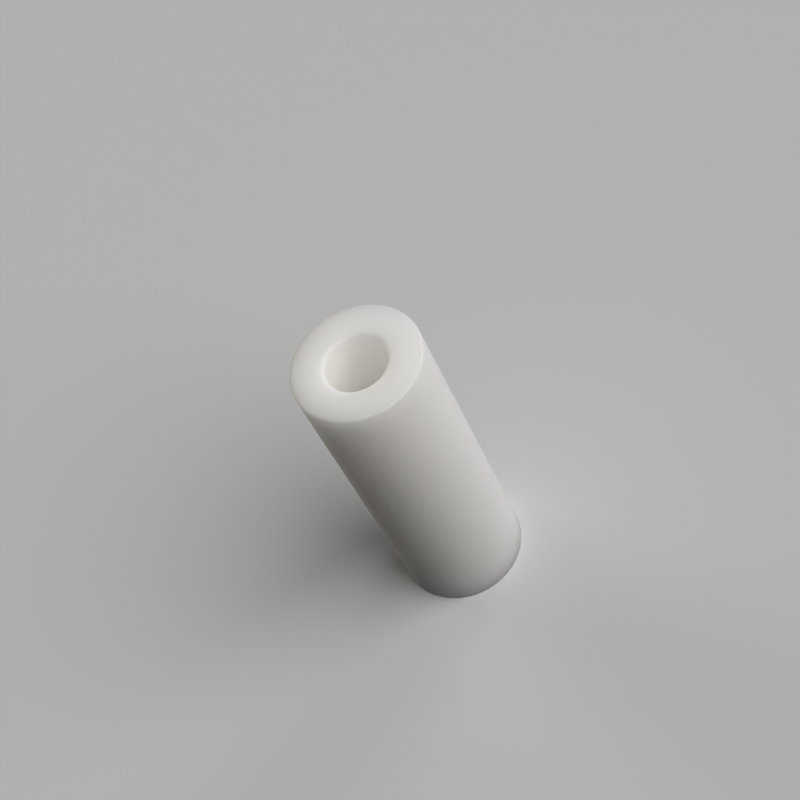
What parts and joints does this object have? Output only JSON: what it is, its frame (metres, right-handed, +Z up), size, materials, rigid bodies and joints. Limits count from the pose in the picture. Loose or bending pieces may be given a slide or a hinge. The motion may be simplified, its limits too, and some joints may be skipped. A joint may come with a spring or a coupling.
{
  "type": "ceramic tube",
  "caption": "Short straight thick-walled round tube of white ceramic with a through bore and rounded end edges, used as a spacer, sleeve or insulator.",
  "frame": {"origin": "centre of the bore at the flat base face that the tube stands on", "axes": "+Z up along the bore axis, from the base to the top end"},
  "size_m": [0.022, 0.022, 0.06],
  "materials": {
    "ceramic": "white fired ceramic, smooth satin"
  },
  "bodies": {
    "root": {"ceramic_tube": "ceramic"}
  },
  "joints": []
}
